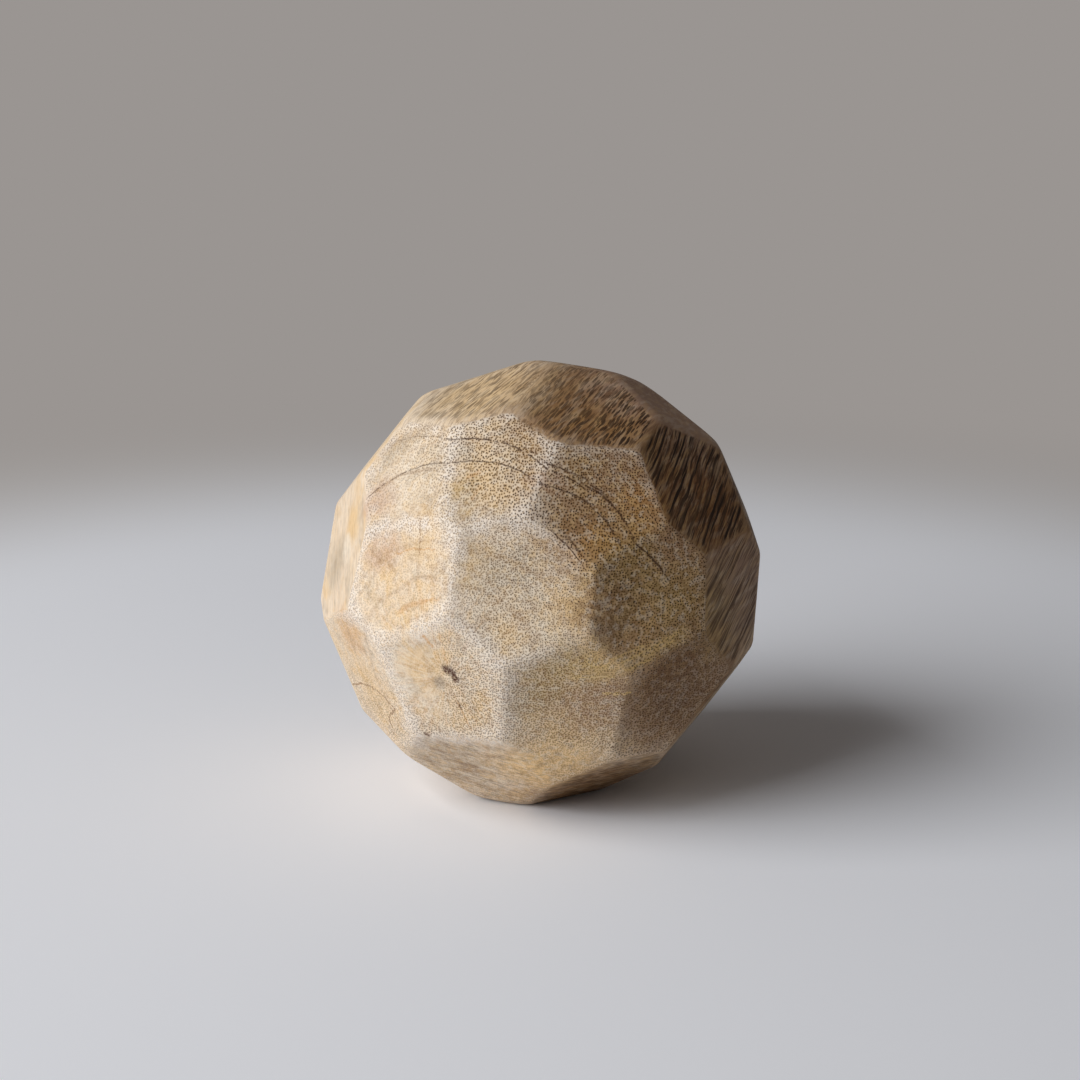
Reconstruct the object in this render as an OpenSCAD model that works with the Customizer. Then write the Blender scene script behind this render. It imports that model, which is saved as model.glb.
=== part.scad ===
// A wooden desk ball with hand-cut flats.
// A ball is turned from one block, dozens of flats are then cut round it by hand, and the
// edges between them are sanded soft. It stands on the deepest flat.
// The origin is on that foot flat, straight below the ball's centre. The front is towards -Y.

/* [Ball] */
// Diameter of the turned ball, before the flats are cut
blank_d = 81; // [76:1:90]
// Depth of an ordinary flat below the round surface
flat_depth = 2.5; // [2:0.1:3]
// Depth of the flat that the ball stands on
foot_depth = 3.6; // [3:0.1:5]

/* [Finish] */
// Radius to which the edges between the flats are sanded
edge_r = 5; // [2:0.5:7]
// Smoothness: steps round a full turn of the sanded edges
edge_steps = 42; // [30:12:66]

/* [Hidden] */
wood_tan = [0.74, 0.62, 0.45];

// Each flat is [elevation above the equator, bearing from the front towards +X, depth in
// ordinary flat depths], with the angles in degrees. They were cut by eye, so they are uneven,
// and a shallow flat comes out small.
FRONT_FLATS = [
    [13, -6, 1.1], [14, -40, 1], [47, -19, 1], [39, -49, 1.05],
    [37, 17, 1], [9, 30, 1], [-16, 5, 1], [-13, -26, 1.1]
];
CROWN_FLATS = [
    [68, 31, 1.2], [72, -62, 1], [62, -142, 1], [74, 145, 0.4]
];
RIGHT_FLATS = [
    [35, 60, 1.2], [5, 61, 1], [-18, 38, 1], [56, 86, 0.65],
    [22, 90, 0.65], [-6, 92, 1.1], [-35, 71, 1.4], [-25, 107, 1.2]
];
LEFT_FLATS = [
    [15, -74, 1.15], [-19, -59, 1.15], [38, -96, 1],
    [4, -104, 1.1], [-21, -90, 0.95]
];
BACK_FLATS = [
    [36, 120, 1], [2, 128, 1], [46, 168, 1], [16, 154, 1], [24, -170, 1], [-6, -176, 1],
    [31, -136, 1], [4, -142, 1], [-28, 148, 1], [-40, -176, 1], [-30, -136, 1]
];
LOW_FLATS = [
    [-35, 3, 0.55], [-44, -22, 1], [-55, 31, 1.1], [-53, -80, 1.2],
    [-58, 85, 1.2], [-62, 170, 1], [-60, -132, 1.1]
];
FLATS = concat(FRONT_FLATS, CROWN_FLATS, RIGHT_FLATS, LEFT_FLATS, BACK_FLATS, LOW_FLATS);

blank_r = blank_d / 2;
centre_z = blank_r - foot_depth;
// Everything is cut this much smaller, and the sanding radius then grows it back to size
core_r = blank_r - edge_r;
core_steps = 90;

// Takes away all that lies outside one flat of the core
module cut_flat(elevation, bearing, depth) {
    rotate([0, 0, bearing])
        rotate([90 - elevation, 0, 0])
            translate([-core_r, -core_r, core_r - depth])
                cube(2 * core_r);
}

module cut_core() {
    difference() {
        sphere(r = core_r, $fn = core_steps);
        for (flat = FLATS)
            cut_flat(flat[0], flat[1], flat_depth * flat[2]);
        cut_flat(-90, 0, foot_depth);
    }
}

// The rounding sphere lies on its side, so that one of its corners points straight down
// and the foot comes out exactly at its depth
module ball() {
    color(wood_tan)
        translate([0, 0, centre_z])
            minkowski() {
                cut_core();
                rotate([0, 90, 0]) sphere(r = edge_r, $fn = edge_steps);
            }
}

ball();
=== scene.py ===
"""A turned wooden desk ball with hand-cut flats. Its edges are sanded soft and keep a pale
bloom of lime, its front shows the dotted end grain round the pith, and its top and right
side show long grain and darker heartwood, deepened on the right by painted shade. Lengths
are in metres, or in mm where named so."""

import math

import bpy
import numpy as np
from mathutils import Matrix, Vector, noise


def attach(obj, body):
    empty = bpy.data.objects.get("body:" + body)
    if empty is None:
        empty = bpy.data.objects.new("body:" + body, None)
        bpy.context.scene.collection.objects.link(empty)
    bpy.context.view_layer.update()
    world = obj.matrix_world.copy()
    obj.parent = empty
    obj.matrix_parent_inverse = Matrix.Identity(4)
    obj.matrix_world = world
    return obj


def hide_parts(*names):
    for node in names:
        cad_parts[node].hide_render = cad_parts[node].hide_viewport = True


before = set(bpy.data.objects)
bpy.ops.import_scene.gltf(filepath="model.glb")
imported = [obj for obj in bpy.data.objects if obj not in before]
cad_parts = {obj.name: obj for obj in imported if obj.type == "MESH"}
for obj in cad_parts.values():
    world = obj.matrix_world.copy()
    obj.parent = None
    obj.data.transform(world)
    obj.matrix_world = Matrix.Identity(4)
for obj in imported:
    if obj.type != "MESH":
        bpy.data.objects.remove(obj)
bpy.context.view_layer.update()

MM = 0.001

# The ball
MIDDLE = Vector((0, 0, 36.9 * MM))  # its middle, above the foot that it stands on
ROUND_R = 40.5 * MM  # radius of the turned ball before the flats were cut
LEAST_FLAT = 30 * MM * MM  # area that tells a flat from a strip of a sanded edge
EDGE_SOFTNESS = 0.4 * MM  # depth over which two neighbouring flats run into each other
CROWN = 0.10 * MM  # how far a flat falls away towards its edges
CROWN_REACH = 7 * MM  # distance from the edges at which a flat is at its full height
CORNER_WEAR = 1.5 * MM  # how much further the wear reaches in from a corner
LEAST_SLOPE = 0.2  # a flat whose normal leans further away from a direction can't cut it
SOFTENING_STEPS = 8  # rounds of Newton's method that bring the surface to its softened place
GRID = 126  # mesh steps along each side of the six patches
CHART_RIM = 0.008  # empty rim round each patch on the texture map, as a share of the patch

# The photograph's view, in its own pixels
PICTURE = 1080
FOCAL = 2600
BALL_X = 542
BALL_Y = 581.5
SIGHT_SLOPE = math.radians(16)  # of the line from the camera down to the ball's middle
CAMERA_DISTANCE = 471 * MM
SENSOR = 36  # mm across

# The stage, in metres from the ball
FLOOR_FADE = (0.16, 0.32)  # where the floor starts to darken, and is at its darkest
BACKDROP_FADE = (0.18, 0.34)  # where the backdrop starts, and hides the floor


def towards(elevation, bearing):
    """Direction from the ball's middle: degrees above the equator, and from the front to +X."""
    high = math.radians(elevation)
    turn = math.radians(bearing)
    return Vector((
        math.cos(high) * math.sin(turn),
        -math.cos(high) * math.cos(turn),
        math.sin(high),
    ))


def tint(red, green, blue):
    """A colour as it looks under plain light, 0 to 255, as the linear values that Blender takes."""
    def linear(value):
        share = value / 255
        return share / 12.92 if share <= 0.04045 else ((share + 0.055) / 1.055) ** 2.4
    return (linear(red), linear(green), linear(blue), 1.0)


# The grain. The pith leaves the ball on the front left flat, and the fibres lean with it.
PITH = towards(-11.5, -26) * 37.8  # mm from the middle
SKIN_R = 38.4  # mm from the middle to the surface, on average
PORE_DEPTH = 0.10 * MM  # of a whole step in the height that bends the light
PITH_LINE = towards(-12, -29)
END_GRAIN_MIDDLE = towards(0, -8)  # middle of the cap where the pores show as dots
END_GRAIN_REACH = 57  # degrees from there to where they turn into streaks
BEHIND_SHIFT = 90  # mm between the pores in front and those behind, so that they differ
DRAW = 0.82  # how far blots are drawn out along long grain: 0 not at all, 1 without end
FIBRES = towards(-30, -30)
KNOT_SIDE = towards(-28, -50)  # the flats below and to the left of the pith, near a knot
KNOT_REACH = 36  # degrees from there within which the fibres lean another way
KNOT_FIBRES = towards(-18, -67)
CRISP_PLACE = towards(-17, 22)  # where the edges were hardly sanded


def read_flats(node):
    """The flats of the CAD ball: unit normals, and distances from the middle in metres."""
    mesh = node.data
    count = len(mesh.polygons)
    normals = np.empty(count * 3, np.float32)
    centres = np.empty(count * 3, np.float32)
    areas = np.empty(count, np.float32)
    mesh.polygons.foreach_get("normal", normals)
    mesh.polygons.foreach_get("center", centres)
    mesh.polygons.foreach_get("area", areas)
    normals = normals.reshape(-1, 3).astype(float)
    centres = centres.reshape(-1, 3).astype(float) - np.array(MIDDLE)
    same_way = math.cos(math.radians(0.6))
    free = np.ones(count, bool)
    found = []
    for first in np.argsort(-areas, kind="stable"):
        if not free[first]:
            continue
        mates = free & (normals @ normals[first] > same_way)
        free[mates] = False
        if areas[mates].sum() > LEAST_FLAT:
            normal = (normals[mates] * areas[mates, None]).sum(0)
            normal /= np.linalg.norm(normal)
            depths = centres[mates] @ normal
            found.append((*normal, np.average(depths, weights=areas[mates])))
    table = np.array(found)
    return table[:, :3], table[:, 3]


def cube_grid(steps):
    """Points of a cube's surface from -1 to 1, its quads, and each quad corner's map place."""
    span = np.arange(steps + 1)
    across, up = np.meshgrid(span, span, indexing="ij")
    corners = ((0, 0), (1, 0), (1, 1), (0, 1))
    keys = []
    charts = []
    for patch in range(6):
        axis = patch % 3
        far_side = patch < 3
        cell = np.empty((3, steps + 1, steps + 1), int)
        cell[axis] = steps if far_side else 0
        cell[(axis + 1) % 3] = across if far_side else up
        cell[(axis + 2) % 3] = up if far_side else across
        key = (cell[0] * (steps + 1) + cell[1]) * (steps + 1) + cell[2]
        place = np.stack((across, up), -1) / steps
        keys.append(np.stack([key[i:steps + i, j:steps + j] for i, j in corners], -1))
        tile = np.array((axis, patch // 3))
        chart = (tile + CHART_RIM + (1 - 2 * CHART_RIM) * place) / np.array((3, 2))
        charts.append(np.stack([chart[i:steps + i, j:steps + j] for i, j in corners], -2))
    keys = np.concatenate([k.reshape(-1, 4) for k in keys])
    charts = np.concatenate([c.reshape(-1, 4, 2) for c in charts])
    used, quads = np.unique(keys, return_inverse=True)
    quads = quads.reshape(keys.shape)
    side = steps + 1
    cells = np.stack((used // side // side, used // side % side, used % side), -1)
    return 2 * cells / steps - 1, quads, charts


def hand_noise(directions, size, seed):
    """Slow unevenness over the ball, about -1 to 1, with bumps of about size (1 is a radius)."""
    shift = Vector((seed, 0, 0))
    return np.array([noise.noise(Vector(d) / size + shift) for d in directions])


def cut_surface(directions, normals, depths):
    """How far out the cut and sanded surface lies along each direction. The sanding is uneven:
    it is heavier on top, and light round one place at the front."""
    crown = directions[:, 2]
    crisp = directions @ np.array(CRISP_PLACE)
    soft = EDGE_SOFTNESS * (1 + 0.55 * hand_noise(directions, 0.35, 3.1))
    soft *= 1 + 1.2 * np.clip((crown - 0.7) / 0.2, 0, 1)
    soft *= 1 - 0.8 * np.clip((crisp - 0.92) / 0.05, 0, 1)
    slopes = np.hstack((directions @ normals.T, np.ones((len(directions), 1))))
    limits = np.append(depths, ROUND_R)
    reach = limits / np.maximum(slopes, LEAST_SLOPE)
    reach = np.where(slopes > LEAST_SLOPE, reach, 1.0).min(1)
    for _ in range(SOFTENING_STEPS):
        over = np.maximum(soft[:, None] + reach[:, None] * slopes - limits, 0)
        reach -= ((over ** 2).sum(1) - soft ** 2) / (2 * (over * slopes).sum(1))
    return reach


def edge_distances(points, normals, depths):
    """Which flat each point is on, how far it is from that flat's nearest edge, and the same
    with the corners counted as nearer, because sanding and lime reach further in there."""
    over = points @ normals.T - depths
    flat = over.argmax(1)
    sines = np.sqrt(1 - np.clip(normals @ normals.T, -1, 1) ** 2) + np.eye(len(depths))
    gaps = (over.max(1)[:, None] - over) / sines[flat]
    gaps[np.arange(len(flat)), flat] = 1
    worn = -CORNER_WEAR * np.log(np.exp(-gaps / CORNER_WEAR).sum(1))
    return flat, gaps.min(1), worn


def lay_grain(points, flats, normals):
    """Along-the-fibre and across-the-fibre places on each flat, in mm, for its streaks."""
    lay = []
    for number, normal in enumerate(normals):
        by_knot = normal @ np.array(KNOT_SIDE) > math.cos(math.radians(KNOT_REACH))
        fibre = np.array(KNOT_FIBRES if by_knot else FIBRES)
        along = fibre - (fibre @ normal) * normal
        along /= np.linalg.norm(along)
        lay.append((along, np.cross(normal, along), number * 17.0))
    along = np.array([row[0] for row in lay])[flats]
    across = np.array([row[1] for row in lay])[flats]
    apart = np.array([row[2] for row in lay])[flats]
    return np.stack((
        (points * along).sum(1) / MM,
        (points * across).sum(1) / MM,
        apart,
    ), -1)


def carve_ball(normals, depths):
    """The ball as one fine closed mesh, with its edge distances and grain as attributes."""
    cube, quads, charts = cube_grid(GRID)
    even = np.tan(cube * math.pi / 4)
    directions = even / np.linalg.norm(even, axis=1)[:, None]
    points = directions * cut_surface(directions, normals, depths)[:, None]
    gaps, worn = edge_distances(points, normals, depths)[1:]
    fall = np.clip(1 - gaps / CROWN_REACH, 0, 1) ** 2
    points -= directions * (CROWN * fall)[:, None]

    mesh = bpy.data.meshes.new("faceted_ball")
    mesh.from_pydata((points + np.array(MIDDLE)).tolist(), [], quads.tolist())
    mesh.shade_smooth()
    nearness = mesh.attributes.new("edge_mm", "FLOAT", "POINT")
    nearness.data.foreach_set("value", (worn / MM).astype(np.float32))
    quad_flats = edge_distances(points[quads].mean(1), normals, depths)[0]
    lay = lay_grain(points[quads].reshape(-1, 3), np.repeat(quad_flats, 4), normals)
    grain = mesh.attributes.new("grain_mm", "FLOAT_VECTOR", "CORNER")
    grain.data.foreach_set("vector", lay.astype(np.float32).ravel())
    chart = mesh.uv_layers.new(name="OFBake")
    chart.data.foreach_set("uv", charts.astype(np.float32).ravel())
    ball = bpy.data.objects.new("faceted_ball", mesh)
    bpy.context.scene.collection.objects.link(ball)
    return ball


class Wire:
    """A value that runs between shader nodes. Python's signs on it add the node they mean."""

    def __init__(self, finish, socket):
        self.finish = finish
        self.socket = socket

    def twin(self, name):
        """Another output of the node that this wire leaves."""
        return Wire(self.finish, self.socket.node.outputs[name])

    def sum(self, operation, *terms):
        """Math on plain values, and Vector Math as soon as a colour or vector takes part. A
        number times a vector scales it."""
        wide = [
            isinstance(term, (tuple, Vector)) or
            isinstance(term, Wire) and term.socket.type in ("VECTOR", "RGBA")
            for term in terms
        ]
        if operation == "MULTIPLY" and wide[0] != wide[1]:
            vector, number = terms if wide[0] else reversed(terms)
            return self.finish.node("ShaderNodeVectorMath", {"operation": "SCALE"},
                                    {0: vector, "Scale": number})
        kind = "ShaderNodeVectorMath" if any(wide) else "ShaderNodeMath"
        return self.finish.node(kind, {"operation": operation}, dict(enumerate(terms)))

    def __add__(self, other):
        return self.sum("ADD", self, other)

    def __radd__(self, other):
        return self.sum("ADD", other, self)

    def __sub__(self, other):
        return self.sum("SUBTRACT", self, other)

    def __rsub__(self, other):
        return self.sum("SUBTRACT", other, self)

    def __mul__(self, other):
        return self.sum("MULTIPLY", self, other)

    def __rmul__(self, other):
        return self.sum("MULTIPLY", other, self)

    def __truediv__(self, other):
        return self.sum("DIVIDE", self, other)

    def __rtruediv__(self, other):
        return self.sum("DIVIDE", other, self)

    def __pow__(self, power):
        return self.sum("POWER", self, power)


class Finish:
    """One material and the node tree that makes it."""

    def __init__(self, name):
        self.material = bpy.data.materials.new(name)
        self.material.use_nodes = True
        self.tree = self.material.node_tree
        self.tree.nodes.clear()

    def node(self, kind, settings=None, inputs=None, output=0):
        """Adds one node and gives what leaves it. Settings go in before the sockets."""
        made = self.tree.nodes.new(kind)
        for name, value in (settings or {}).items():
            setattr(made, name, value)
        for name, value in (inputs or {}).items():
            socket = made.inputs[name]
            if isinstance(value, Wire):
                self.tree.links.new(value.socket, socket)
            elif not hasattr(socket.default_value, "__len__"):
                socket.default_value = value
            elif hasattr(value, "__len__"):
                socket.default_value = tuple(value)[:len(socket.default_value)]
            else:
                socket.default_value = [value] * len(socket.default_value)
        return Wire(self, made.outputs[output]) if made.outputs else None

    def dot(self, first, second):
        return self.node("ShaderNodeVectorMath", {"operation": "DOT_PRODUCT"},
                         {0: first, 1: second}, "Value")

    def along(self, vector, elevation, bearing):
        """How far a vector goes in one direction."""
        return self.dot(vector, tuple(towards(elevation, bearing)))

    def length(self, vector):
        return self.node("ShaderNodeVectorMath", {"operation": "LENGTH"}, {0: vector}, "Value")

    def vector(self, x, y, z=0.0):
        return self.node("ShaderNodeCombineXYZ", None, {"X": x, "Y": y, "Z": z})

    def fade(self, value, none, full):
        """0 where value is at none, 1 where it is at full, and a soft step between."""
        return self.node("ShaderNodeMapRange",
                         {"interpolation_type": "SMOOTHSTEP", "clamp": False},
                         {"Value": value, "From Min": none, "From Max": full})

    def lesser(self, first, second):
        return self.node("ShaderNodeMath", {"operation": "MINIMUM"}, {0: first, 1: second})

    def greater(self, first, second):
        return self.node("ShaderNodeMath", {"operation": "MAXIMUM"}, {0: first, 1: second})

    def size_of(self, value):
        return self.node("ShaderNodeMath", {"operation": "ABSOLUTE"}, {0: value})

    def cloud(self, vector, size, detail=2.0, rough=0.5, kind="Fac"):
        """Soft noise around 0.5, with blots of about size mm."""
        return self.node("ShaderNodeTexNoise", None, {
            "Vector": vector, "Scale": 1 / size, "Detail": detail, "Roughness": rough,
        }, kind)

    def cells(self, vector, size, chance=1.0):
        """Distance to the nearest of many scattered points, in shares of size, and its colour."""
        spots = self.node("ShaderNodeTexVoronoi", {"voronoi_dimensions": "2D"}, {
            "Vector": vector, "Scale": 1 / size, "Randomness": chance,
        }, "Distance")
        return spots, spots.twin("Color")

    def mix(self, first, second, share):
        """One colour over another. A Mix node keeps its colour sockets at 6 and 7."""
        return self.node("ShaderNodeMix", {"data_type": "RGBA"},
                         {0: share, 6: first, 7: second}, 2)

    def part_of(self, colour, part="Red"):
        """One plain number out of a random colour."""
        return self.node("ShaderNodeSeparateColor", None, {"Color": colour}, part)

    def near(self, place, elevation, bearing, inner, outer):
        """1 within inner mm of a point on the ball's surface, and 0 beyond outer mm."""
        spot = towards(elevation, bearing) * SKIN_R
        return self.fade(self.length(place - tuple(spot)), outer, inner)

    def stroke(self, place, marks, width):
        """1 on a thin line through marks on the ball's surface, fading out over width mm."""
        nearest = None
        points = [towards(*mark) * SKIN_R for mark in marks]
        for start, end in zip(points, points[1:]):
            step = end - start
            share = self.dot(place - tuple(start), tuple(step / step.length_squared))
            share = self.node("ShaderNodeClamp", None, {"Value": share})
            gap = self.length(place - tuple(start) - share * tuple(step))
            nearest = gap if nearest is None else self.lesser(nearest, gap)
        return self.fade(nearest, width, width * 0.25)


# Wood colours as they look under plain light
SAPWOOD = tint(231, 211, 186)
CREAM = tint(241, 228, 208)
GOLD = tint(228, 190, 132)
AMBER = tint(202, 144, 72)
YELLOW = tint(228, 192, 120)
HONEY = tint(246, 206, 144)
OLIVE = tint(174, 143, 74)
GREY_TAN = tint(186, 170, 148)
PINK_TAN = tint(192, 150, 122)
HEARTWOOD = tint(148, 108, 64)
DARK_HEART = tint(94, 61, 31)
RED_HEART = tint(116, 63, 12)
PURPLE_BROWN = tint(144, 118, 106)
# Partly the wood's tone, partly painted sheen: the grey that the flat behind the top shows at a
# grazing angle
MAUVE_AND_SHEEN = tint(166, 140, 128)
LIME = tint(240, 232, 224)
PORE = tint(46, 28, 14)
PORE_RIM = tint(126, 94, 62)
RING_INK = tint(70, 42, 24)
PITH_BROWN = tint(78, 36, 18)
FLOOR_PALE = tint(245, 248, 255)
FLOOR_FAR = tint(205, 202, 200)
BACKDROP_GREY = tint(154, 149, 146)
ROOM_WARM_GREY = tint(220, 211, 204)

# Soft patches of tone: elevation, bearing, radius in mm, colour, strength
PATCHES = [
    (14, -42, 13, GOLD, 0.14),
    (24, -34, 6, GOLD, 0.4),
    (3, -34, 5, GOLD, 0.4),
    (31, -57, 5, PINK_TAN, 0.75),
    (44, -66, 4, GREY_TAN, 0.6),
    (46, -40, 4, GREY_TAN, 0.5),
    (19, -48, 5, PINK_TAN, 0.5),
    (16, -76, 13, SAPWOOD, 0.8),
    (22, -70, 5, GOLD, 0.7),
    (9, -76, 6, GREY_TAN, 0.7),
    (14, -70, 3, CREAM, 0.7),
    (38, -50, 9, CREAM, 0.45),
    (44, -24, 5, GOLD, 0.6),
    (35, -26, 5, OLIVE, 0.5),
    (38, -14, 4, GOLD, 0.7),
    (52, -4, 8, OLIVE, 0.3),
    (18, -16, 6, OLIVE, 0.3),
    (8, -10, 7, GREY_TAN, 0.2),
    (8, -6, 13, CREAM, 0.4),
    (8, 6, 7, GOLD, 0.7),
    (0, 2, 6, CREAM, 0.5),
    (2, -8, 4, HONEY, 0.5),
    (20, -8, 5, GREY_TAN, 0.5),
    (-2, 14, 4, GOLD, 0.6),
    (44, 18, 10, GREY_TAN, 0.5),
    (36, 20, 17, HEARTWOOD, 0.85),
    (46, 24, 6, PURPLE_BROWN, 0.35),
    (26, 8, 7, HEARTWOOD, 0.4),
    (28, 18, 8, HEARTWOOD, 0.5),
    (31, 33, 6, AMBER, 0.7),
    (24, 14, 5, AMBER, 0.6),
    (46, 12, 5, OLIVE, 0.4),
    (42, 3, 3.5, PINK_TAN, 0.5),
    (10, 32, 17, HEARTWOOD, 0.8),
    (14, 28, 14, OLIVE, 0.6),
    (22, 38, 5, PINK_TAN, 0.4),
    (-1, 26, 7, AMBER, 0.3),
    (6, 18, 6, DARK_HEART, 0.6),
    (14, 19, 5, DARK_HEART, 0.4),
    (4, 38, 6, OLIVE, 0.6),
    (10, 16, 4, HEARTWOOD, 0.6),
    (-2, 34, 8, GOLD, 0.35),
    (-16, 4, 12, GOLD, 0.55),
    (-8, 6, 8, OLIVE, 0.6),
    (-8, 12, 6, YELLOW, 0.5),
    (-14, -2, 6, OLIVE, 0.45),
    (-22, 10, 6, OLIVE, 0.4),
    (-19, 22, 9, HEARTWOOD, 0.45),
    (-16, 14, 6, HEARTWOOD, 0.3),
    (-18, 12, 8, PINK_TAN, 0.45),
    (-14, -6, 5, GREY_TAN, 0.7),
    (-27, -4, 5, GREY_TAN, 0.5),
    (-11, -37, 6, CREAM, 0.4),
    (-11, -30, 5, HONEY, 0.35),
    (-5, -25, 2.2, HONEY, 0.6),
    (-8, -34, 4, GOLD, 0.5),
    (-24, -22, 7, GOLD, 0.3),
    (-5, -60, 6, AMBER, 0.5),
    (-24, -58, 8, GOLD, 0.5),
    (-42, -34, 11, GREY_TAN, 0.6),
    (-46, -28, 3, HEARTWOOD, 0.5),
    (-38, 4, 12, HONEY, 1.0),
    (-58, 26, 15, HEARTWOOD, 0.95),
    (-56, 34, 12, DARK_HEART, 0.3),
    (-20, 40, 16, HEARTWOOD, 0.95),
    (-14, 44, 15, DARK_HEART, 0.75),
    (2, 54, 10, OLIVE, 0.6),
    (4, 72, 13, PURPLE_BROWN, 0.8),
    (34, 62, 18, RED_HEART, 0.95),
    (68, 30, 20, HEARTWOOD, 0.9),
    (62, 20, 14, RED_HEART, 0.2),
    # Painted sheen in part: the pale mauve-grey of the flat behind the top
    (58, 92, 18, MAUVE_AND_SHEEN, 1.0),
    (70, -70, 16, CREAM, 0.5),
    (72, -60, 14, GOLD, 0.6),
]

# Where the lime is gone: elevation, bearing, radius in mm
BARE_PLACES = [(14, 26, 15), (-20, 24, 20), (20, 60, 16), (-46, 0, 12), (-10, -70, 5)]

# Lines in the wood: the marks that each runs through, its width in mm, colour, strength
CRACK = [(-25, -74), (-23, -67), (-22, -59), (-23, -52), (-25, -47), (-30, -54), (-33, -54)]
YELLOW_BAND = [(-8, 14), (-5, 24), (-1, 37)]  # a paler streak across two flats
STROKES = [
    (CRACK, 0.32, HEARTWOOD, 0.8),
    ([(32, -62), (39, -56), (41, -50), (43, -42)], 0.6, HEARTWOOD, 0.35),
    ([(5, -39), (7, -36), (9, -31)], 0.7, AMBER, 0.4),
    ([(9, -31), (10, -27)], 0.35, AMBER, 0.4),
    ([(19, -43), (21, -39), (22, -30)], 0.25, AMBER, 0.5),
    ([(29, -37), (20, -35)], 0.28, HEARTWOOD, 0.6),
    ([(18, -52), (16, -48), (17, -47), (14, -42)], 0.5, HEARTWOOD, 0.3),
    ([(0, -31), (-2.5, -29)], 0.45, AMBER, 0.6),
    ([(1, -26.3), (-7, -25.3)], 0.3, AMBER, 0.5),
    ([(-19, -23), (-20, -22.6)], 0.35, PORE, 0.95),
    ([(-18, -23.5), (-22, -22), (-26, -20)], 0.3, AMBER, 0.4),
    ([(-29, -35.3), (-29.4, -34.7)], 0.5, PITH_BROWN, 0.8),
    ([(42, -26), (44, -23)], 0.7, AMBER, 0.4),
    ([(36, -22), (40, -21)], 0.6, AMBER, 0.3),
    ([(-9, 8), (-9, 18)], 0.35, YELLOW, 0.7),
    ([(-6, 8), (-6, 16)], 0.35, YELLOW, 0.35),
    ([(-14, 16), (-14, 23)], 0.35, YELLOW, 0.75),
    ([(-4, 17), (-2, 26)], 0.4, YELLOW, 0.55),
    ([(-5, 20), (-3, 28), (0, 37)], 0.4, YELLOW, 0.6),
    ([(-4.5, 26), (-2, 35)], 0.35, YELLOW, 0.6),
    ([(-7, 21), (-5.5, 28)], 0.4, YELLOW, 0.55),
]

# Dark year rings that show: distance from the pith line where each starts, how much further
# out it runs with every degree, the turn from one end to the other in degrees, and strength
RINGS = [
    (33.6, 0.0, 20, 60, 0.7), (33.3, 0.042, 57, 102, 0.7), (32.4, 0.0, 36, 132, 0.6),
    (33.7, 0.03, 50, 78, 0.6), (28.5, 0.02, 39, 57, 0.7), (29.1, 0.02, 40, 53, 0.6),
    (35.0, 0.1, 100, 122, 0.4),
]


def wood_tone(wood, place, long_grain, fleck):
    """The ball's colour before pores, lines and lime: sapwood with blots, patches, a browner right
    side that is partly heartwood and partly painted shade, and small flecks where fleck is 1.
    Blots and flecks are drawn out along the fibre in long grain."""
    drift = wood.cloud(place, 7, 3, 0.6, "Color") - (0.5, 0.5, 0.5)
    wandering = place + drift * 8
    drawn = wood.dot(place, tuple(PITH_LINE)) * long_grain
    drawn_out = place - drawn * tuple(PITH_LINE * DRAW)
    blots = wood.cloud(drawn_out, 4.5, 3, 0.6, "Color")
    colour = wood.mix(SAPWOOD, GOLD, wood.fade(wood.part_of(blots), 0.47, 0.62) * 0.6)
    colour = wood.mix(colour, GREY_TAN, wood.fade(wood.part_of(blots, "Green"), 0.5, 0.64) * 0.65)
    for elevation, bearing, radius, patch, strength in PATCHES:
        cover = wood.near(wandering, elevation, bearing, radius * 0.35, radius * 1.15)
        colour = wood.mix(colour, patch, cover * strength)
    # Darker brown towards the right and back: partly heartwood, partly painted shade on the side
    # away from the window
    heartwood_and_shade = wood.fade(wood.along(wandering, 20, 110), 2, 22)
    colour = wood.mix(colour, HEARTWOOD, heartwood_and_shade * 0.35)
    mosaic = wood.cloud(drawn_out, 1.3, 2, 0.6, "Color")
    pale = wood.fade(wood.part_of(mosaic), 0.48, 0.62) * fleck
    gold = wood.fade(wood.part_of(mosaic, "Green"), 0.48, 0.62) * fleck
    brown = wood.fade(wood.part_of(mosaic, "Blue"), 0.48, 0.64) * fleck
    colour = wood.mix(colour, CREAM, pale * 0.38)
    colour = wood.mix(colour, GOLD, gold * 0.36)
    return wood.mix(colour, HEARTWOOD, brown * 0.36)


def end_grain_map(wood, place):
    """Flat places in mm on the end-grain cap, and on the matching cap behind, spread a little
    towards the rim, so that a pore stays nearly round."""
    side = tuple(towards(0, 82))
    facing = wood.dot(place, tuple(END_GRAIN_MIDDLE)) / wood.length(place)
    spread = (2 / (wood.size_of(facing) + 1)) ** 0.3
    behind = wood.fade(facing, 0.01, -0.01) * BEHIND_SHIFT
    return wood.vector(wood.dot(place, side) * spread + behind,
                       wood.dot(place, (0.0, 0.0, 1.0)) * spread)


def pith_map(wood, place):
    """Distance in mm from the line of the pith, and the turn round it in degrees."""
    away = place - tuple(PITH)
    level = Vector((0, 0, 1)).cross(PITH_LINE).normalized()
    rise = PITH_LINE.cross(level)
    right = wood.dot(away, tuple(level))
    up = wood.dot(away, tuple(rise))
    radius = (right * right + up * up) ** 0.5
    turn = wood.node("ShaderNodeMath", {"operation": "ARCTAN2"}, {0: up, 1: right})
    return radius, turn * (180 / math.pi)


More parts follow.
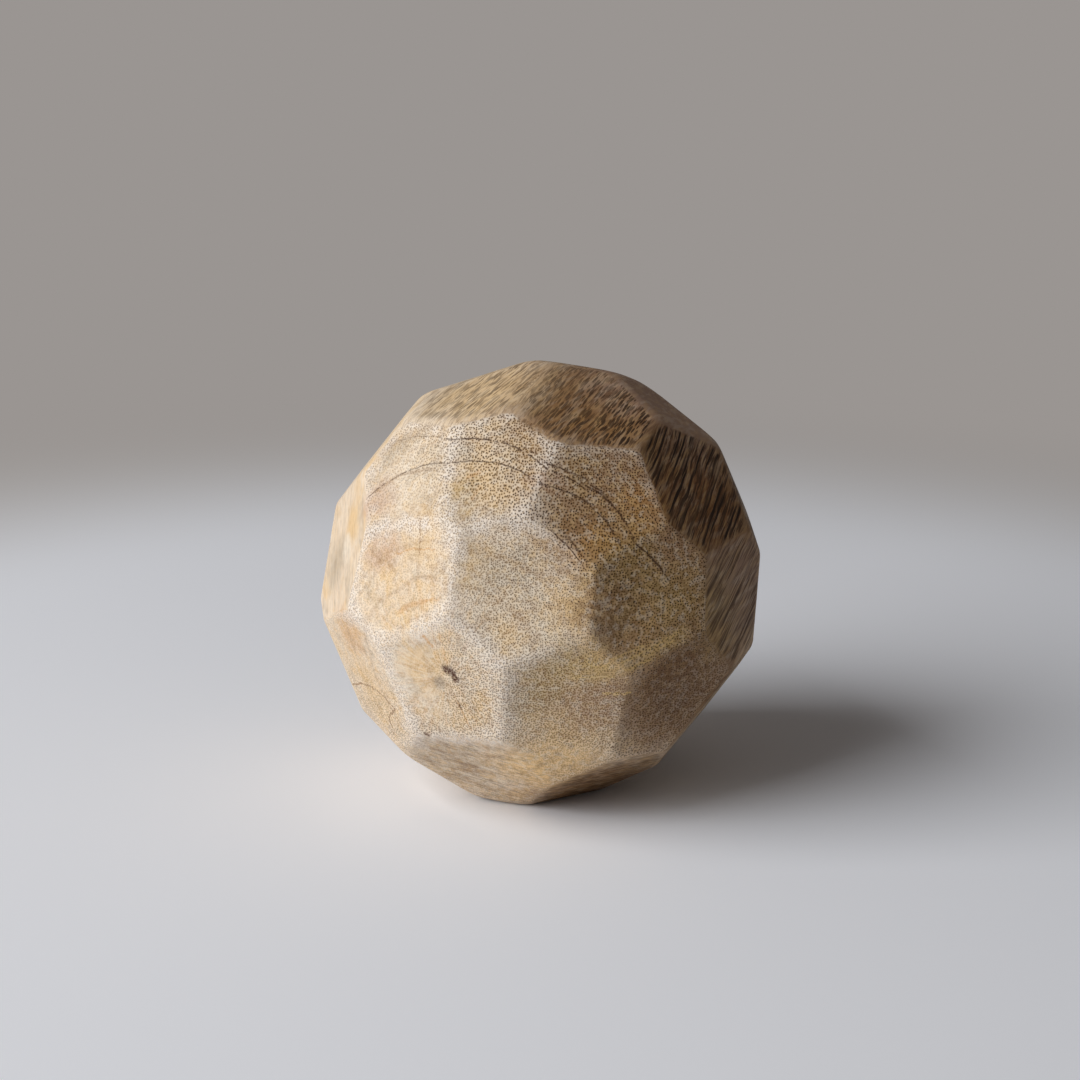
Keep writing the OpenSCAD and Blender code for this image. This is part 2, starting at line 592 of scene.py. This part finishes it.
def pore_dots(wood, flat, coarse):
    """Round pores of the end grain, closer together near the pith: how dark each place is
    from them, and where the pale wood between them shows."""
    jitter = (wood.cloud(flat, 0.9, 1, 0.5, "Color") - (0.5, 0.5, 0.5)) * 0.3
    close, close_paint = wood.cells(flat + jitter, 0.38, 0.85)
    wide, wide_paint = wood.cells(flat + jitter, 0.46, 0.8)
    close_size = 0.05 + 0.13 * wood.part_of(close_paint)
    wide_size = 0.07 + 0.13 * wood.part_of(wide_paint)
    close_dark = 0.5 + 0.5 * wood.part_of(close_paint, "Green")
    close_dot = wood.fade(close, close_size + 0.17, close_size) * close_dark
    wide_dot = wood.fade(wide, wide_size + 0.14, wide_size)
    pick = wood.fade(coarse, 0.4, 0.6)
    dots = close_dot + (wide_dot - close_dot) * pick
    between = close + (wide - close) * pick
    return dots, wood.fade(between, 0.32, 0.56)


def dash_rows(wood, along, across, apart, length, size):
    """Dark dashes in rows along the fibre: their stretch, and the spacing of the rows in mm."""
    gap, paint = wood.cells(wood.vector(along / length + apart, across), size, 0.9)
    width = 0.14 + 0.18 * wood.part_of(paint)
    return wood.fade(gap, width + 0.13, width - 0.03)


def streaks(wood, grain):
    """Long grain: open pores as short and long dark dashes, fibres, and broad bands."""
    along = wood.node("ShaderNodeSeparateXYZ", None, {"Vector": grain})
    across = along.twin("Y")
    apart = along.twin("Z")
    wave = wood.cloud(wood.vector(along * 0.3, across * 0.5, apart), 3, 2) - 0.5
    bent = across + wave * 1.3
    short = wood.greater(dash_rows(wood, along, bent, apart, 6, 0.56),
                         dash_rows(wood, along, bent + 7, apart, 7, 0.7))
    long = wood.greater(dash_rows(wood, along, bent + 3, apart, 30, 0.9),
                        dash_rows(wood, along, bent + 9, apart, 16, 0.5) * 0.75)
    fibres = wood.cloud(wood.vector(along * 0.09, bent, apart), 0.42, 3, 0.6)
    bands = wood.cloud(wood.vector(along * 0.06, bent, apart + 5), 1.6, 3, 0.6)
    return short, long, fibres, bands


def lime_left(wood, place, facing, edge, end_grain):
    """How much pale lime is left along the edges and corners of the front and the back, rubbed
    off again here and there, and the fine specks that break it up. The lime is also thinned on
    the flats that face right, away from the window, as painted shade."""
    rub = (wood.cloud(place, 3.5, 3, 0.6) - 0.5) * 8
    specks = wood.cloud(place, 0.42, 2, 0.7)
    lime = wood.fade(edge + rub + (specks - 0.5) * 4, 2.8, -0.4)
    kept = wood.greater(wood.fade(wood.along(place, 20, -24), 12, 27),
                        wood.fade(wood.along(place, 14, 168), 14, 29) * 0.8)
    for elevation, bearing, reach in BARE_PLACES:
        kept = kept * (1 - wood.near(place, elevation, bearing, reach * 0.6, reach * 1.3))
    # Painted shade: less lime on the flats that face right, away from the window, so they read
    # darker
    painted_shade_right = wood.fade(wood.along(facing, 22, 34), 0.80, 0.92)
    lime = lime * (0.07 + 0.93 * kept) * (0.1 + 0.9 * end_grain) * (1 - painted_shade_right * 0.4)
    return lime, specks


def ring_tones(wood, colour, place, radius, turn, end_grain):
    """Soft tones that follow the rings, and rays: thin pale and gold hairlines that spread
    from the pith."""
    wobble = (wood.cloud(place, 7, 2) - 0.5) * 2.2
    tone = wood.cloud(wood.vector(radius + wobble, 0.0, 0.0), 2.0, 2)
    colour = wood.mix(colour, HEARTWOOD, wood.fade(tone, 0.5, 0.7) * end_grain * 0.3)
    rays = wood.cloud(wood.vector(turn * 0.11, radius * 0.06, 0.0), 0.4, 2, 0.6)
    ray_reach = wood.fade(radius, 1.6, 3) * wood.fade(radius, 24, 7) * end_grain
    colour = wood.mix(colour, CREAM, wood.fade(rays, 0.52, 0.64) * ray_reach * 0.35)
    return wood.mix(colour, AMBER, wood.fade(rays, 0.47, 0.36) * ray_reach * 0.24)


def year_rings(wood, colour, place, radius, turn, end_grain):
    """A few thin dark rings, broken here and there."""
    jag = (wood.cloud(place, 2.2, 3, 0.6) - 0.5) * 0.4
    broken = wood.fade(wood.cloud(place + (5, 3, 60), 1.1, 2, 0.6), 0.37, 0.5)
    for start, growth, first, last, strength in RINGS:
        ring = (turn - first) * growth + start
        line = wood.fade(wood.size_of(radius + jag - ring), 0.13, 0.03)
        shown = wood.fade(turn, first - 5, first + 5) * wood.fade(turn, last + 5, last - 5)
        shown = shown * end_grain
        colour = wood.mix(colour, RING_INK, line * shown * broken * (strength * 1.2))
    return colour


def pith_mark(wood, colour, place, skin, radius, turn):
    """The pith: a crumbling dark arc on its upper right, and a soft grey spot on its lower
    left. Also gives how deep the arc has crumbled."""
    scrawl = (wood.cloud(place, 0.9, 3, 0.7) - 0.5) * 1.8
    arc = wood.fade(wood.size_of(radius + scrawl - 1.8), 0.9, 0.35)
    arc = arc * wood.fade(turn, -28, -4) * wood.fade(turn, 120, 90)
    crumbs = wood.fade(wood.cloud(place + (9, 9, 9), 0.3, 2, 0.7), 0.40, 0.54)
    front = wood.fade(wood.dot(place, tuple(PITH_LINE)), 0, 10)
    core = arc * (0.35 + 0.65 * crumbs) * front
    spot = wood.near(skin, -13, -28.2, 0.5, 1.7)
    colour = wood.mix(colour, GREY_TAN, spot * 0.7)
    colour = wood.mix(colour, PITH_BROWN, spot * crumbs * 0.4)
    return wood.mix(colour, PITH_BROWN, core * 0.95), core


def limed_wood():
    """End grain, long grain, rings, pith and the pale lime left along the sanded edges."""
    wood = Finish("limed_wood")
    seen = wood.node("ShaderNodeTexCoord", None, None, "Object")
    facing = seen.twin("Normal")
    place = (seen - tuple(MIDDLE)) * (1 / MM)
    edge = wood.node("ShaderNodeAttribute", {"attribute_name": "edge_mm"}, None, "Fac")
    grain = wood.node("ShaderNodeAttribute", {"attribute_name": "grain_mm"}, None, "Vector")

    flat = end_grain_map(wood, place)
    radius, turn = pith_map(wood, place)
    ragged = wood.cloud(place, 2.5, 3) - 0.5
    lean = wood.size_of(wood.dot(facing, tuple(END_GRAIN_MIDDLE)))
    rim = math.cos(math.radians(END_GRAIN_REACH))
    end_grain = wood.fade(lean + ragged * 0.2, rim - 0.07, rim + 0.07)
    long_grain = 1 - end_grain
    low_side = wood.fade(wood.along(facing, -46, -26) + ragged * 0.1, 0.89, 0.95)
    lime, specks = lime_left(wood, place, facing, edge, end_grain)

    # The pores hardly show in the smooth sapwood to the left of the pith, except in the lime
    left_side = wood.along(place, 14, -60) + ragged * 10
    plain_side = wood.fade(left_side, 25, 36) * (1 - lime * 0.6)
    open_pores = (1 - plain_side * 0.65) * (1 - low_side * 0.7)
    coarse = wood.fade(radius + ragged * 9, 22, 34)
    left_of_pith = wood.fade(wood.along(place - tuple(PITH), 0, 60), 2, -4)
    near_pith = wood.fade(radius, 12, 7) * left_of_pith
    round_pores, between = pore_dots(wood, flat, coarse)
    band = wood.stroke(place * (SKIN_R / wood.length(place)), YELLOW_BAND, 2.4)
    shaded = wood.fade(wood.along(place, 18, 28) + ragged * 6, 30, 37)
    low_gold = wood.fade(wood.along(facing, -38, 2), 0.93, 0.98)
    low_right = wood.fade(wood.along(facing, -20, 42), 0.9, 0.97)
    pore_share = open_pores * (0.78 + 0.08 * coarse + 0.14 * shaded - 0.36 * low_gold)
    pore_share = pore_share * (1 - near_pith * 0.8) * (1 - low_right * 0.1) * (1 - band * 0.15)
    dots = round_pores * end_grain * pore_share

    # In long grain they are dashes: rough on top and underneath, longest at the right, and
    # hardly any on the flat behind the top, which is left plain to paint its grey sheen
    short, long, fibres, bands = streaks(wood, grain)
    rough_top = wood.fade(wood.along(place, 44, 50), 4, 22)
    rough_grain = wood.greater(rough_top, wood.fade(wood.along(place, -52, 50), 14, 30) * 0.5)
    right_side = wood.fade(wood.along(facing, 25, 75), 0.7, 0.85)
    dash = short + (long - short) * right_side
    pale_top = wood.fade(wood.along(place, 70, -85) + ragged * 10, 20, 36)
    thinned = 0.65 + 0.35 * wood.fade(bands, 0.42, 0.54)
    # 0 on the flat behind the top, where dashes and fibres are left out as painted sheen
    outside_sheen_flat = 1 - wood.fade(wood.along(facing, 56, 88), 0.9, 0.96)
    dashes = dash * long_grain * (0.1 + 0.9 * rough_grain) * (1 - pale_top * 0.5) * thinned

    fleck = (0.4 + 0.6 * end_grain) * (1 - low_right * 0.6) * (1 - plain_side * 0.35)
    colour = wood_tone(wood, place, long_grain, fleck)

    # Dashes and fibres are fainter on the calm flat at the right, and dashes on worn edges
    calm = wood.fade(wood.along(facing, 0, 66), 0.86, 0.95)
    dashes = dashes * outside_sheen_flat * (1 - calm * 0.3)
    dashes = dashes * (0.25 + 0.75 * wood.fade(edge, 0.1, 0.9))
    streaked = long_grain * (0.2 + 0.8 * rough_grain) * (1 - pale_top * 0.5) * outside_sheen_flat
    streaked = wood.greater(streaked * (1 - calm * 0.3), low_side * 0.4)
    colour = wood.mix(colour, DARK_HEART, wood.fade(fibres, 0.5, 0.6) * streaked * 0.9)
    colour = wood.mix(colour, GOLD, wood.fade(fibres, 0.46, 0.36) * streaked * 0.3)
    colour = wood.mix(colour, HEARTWOOD, wood.fade(bands, 0.5, 0.66) * streaked * 0.45)
    colour = ring_tones(wood, colour, place, radius, turn, end_grain)
    colour = wood.mix(colour, LIME, lime * (0.3 + 0.5 * wood.fade(specks, 0.40, 0.60)))

    # Single marks, each on its own place, with the pores open through them
    colour = wood.mix(colour, YELLOW, band * 0.3)
    fret = wood.cloud(place, 0.8, 2, 0.6, "Color") - (0.5, 0.5, 0.5)
    skin = place * (SKIN_R / wood.length(place)) + fret * 0.9
    for marks, width, shade, strength in STROKES:
        colour = wood.mix(colour, shade, wood.stroke(skin, marks, width) * strength)

    # Pores: brown round each, dark within, and paler wood between them
    pale_between = between * end_grain * open_pores * (0.3 - 0.23 * shaded - 0.2 * low_right)
    colour = wood.mix(colour, CREAM, pale_between)
    rims = wood.fade(between, 0.8, 0.0) * end_grain * pore_share
    colour = wood.mix(colour, PORE_RIM, rims * (0.4 - 0.2 * shaded))
    colour = wood.mix(colour, PORE, dots)
    colour = wood.mix(colour, PORE, dashes)
    colour = year_rings(wood, colour, place, radius, turn, end_grain)
    colour, core = pith_mark(wood, colour, place, skin, radius, turn)

    height = 0 - dots * 0.8 - dashes * 0.7 - core * 1.5 + (fibres - 0.5) * 0.25
    bump = wood.node("ShaderNodeBump", None, {
        "Strength": 0.8, "Distance": PORE_DEPTH, "Height": height,
    })
    roughness = 0.56 + dots * 0.25 + dashes * 0.2 + lime * 0.08
    shader = wood.node("ShaderNodeBsdfPrincipled", None, {
        "Base Color": colour, "Roughness": roughness, "Normal": bump, "Specular IOR Level": 0.3,
    })
    wood.node("ShaderNodeOutputMaterial", None, {"Surface": shader})
    return wood.material


def pale_floor(reach):
    """A large plain floor, pale round the ball. Far off it is the plain grey of the backdrop."""
    mesh = bpy.data.meshes.new("floor")
    corners = [(-reach, -reach, 0), (reach, -reach, 0), (reach, reach, 0), (-reach, reach, 0)]
    mesh.from_pydata(corners, [], [(0, 1, 2, 3)])
    floor = bpy.data.objects.new("floor", mesh)
    bpy.context.scene.collection.objects.link(floor)
    paint = Finish("pale_floor")
    seen = paint.node("ShaderNodeTexCoord", None, None, "Object")
    away = paint.length(seen)
    colour = paint.mix(FLOOR_PALE, FLOOR_FAR, paint.fade(away, *FLOOR_FADE))
    shader = paint.node("ShaderNodeBsdfPrincipled", None, {
        "Base Color": colour, "Roughness": 0.85,
    })
    glow = paint.node("ShaderNodeEmission", None, {"Color": BACKDROP_GREY, "Strength": 1.0})
    ray = paint.node("ShaderNodeLightPath", None, None, "Is Camera Ray")
    looked_at = ray + ray.twin("Is Glossy Ray") + ray.twin("Is Transmission Ray")
    looked_at = paint.lesser(looked_at, 1.0)
    backdrop = paint.fade(away, *BACKDROP_FADE) * looked_at
    blend = paint.node("ShaderNodeMixShader", None, {0: backdrop, 1: shader, 2: glow})
    paint.node("ShaderNodeOutputMaterial", None, {"Surface": blend})
    mesh.materials.append(paint.material)


def soft_light(name, elevation, bearing, distance, size, level):
    """A square soft light aimed at the ball, at which white paint facing it looks level white."""
    lamp = bpy.data.lights.new(name, "AREA")
    lamp.size = size
    lamp.energy = level * (math.pi * distance) ** 2
    holder = bpy.data.objects.new(name, lamp)
    aim = towards(elevation, bearing)
    holder.location = MIDDLE + aim * distance
    holder.rotation_euler = aim.to_track_quat("Z", "Y").to_euler()
    holder.visible_camera = False
    bpy.context.scene.collection.objects.link(holder)


def room_light(level):
    """Even dim light from the whole room. Seen by the camera it is the grey of the backdrop."""
    world = bpy.data.worlds.new("room")
    world.use_nodes = True
    tree = world.node_tree
    sky = tree.nodes["Background"]
    sky.inputs["Color"].default_value = ROOM_WARM_GREY
    sky.inputs["Strength"].default_value = level
    wall = tree.nodes.new("ShaderNodeBackground")
    wall.inputs["Color"].default_value = BACKDROP_GREY
    ray = tree.nodes.new("ShaderNodeLightPath")
    blend = tree.nodes.new("ShaderNodeMixShader")
    tree.links.new(ray.outputs["Is Camera Ray"], blend.inputs[0])
    tree.links.new(sky.outputs[0], blend.inputs[1])
    tree.links.new(wall.outputs[0], blend.inputs[2])
    tree.links.new(blend.outputs[0], tree.nodes["World Output"].inputs["Surface"])
    bpy.context.scene.world = world


def place_camera():
    """The camera of the photograph: it looks down at the ball from in front."""
    lens = bpy.data.cameras.new("camera")
    lens.sensor_width = SENSOR
    lens.lens = SENSOR * FOCAL / PICTURE
    camera = bpy.data.objects.new("camera", lens)
    half = PICTURE / 2
    tilt = SIGHT_SLOPE - math.atan((BALL_Y - half) / FOCAL)
    up = Vector((0, math.sin(tilt), math.cos(tilt)))
    back = Vector((0, -math.cos(tilt), math.sin(tilt)))
    right = Vector((1, 0, 0))
    sight = right * (BALL_X - half) - up * (BALL_Y - half) - back * FOCAL
    camera.location = MIDDLE - sight.normalized() * CAMERA_DISTANCE
    camera.rotation_euler = (math.pi / 2 - tilt, 0, 0)
    bpy.context.scene.collection.objects.link(camera)
    bpy.context.scene.camera = camera


place_camera()
pale_floor(reach=6)
soft_light("window", elevation=31, bearing=-66, distance=1.5, size=1.35, level=1.21)
room_light(level=0.14)

ball = carve_ball(*read_flats(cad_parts["ball"]))
ball.data.materials.append(limed_wood())
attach(ball, "root")
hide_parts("ball")

bpy.context.scene.view_settings.view_transform = "Standard"
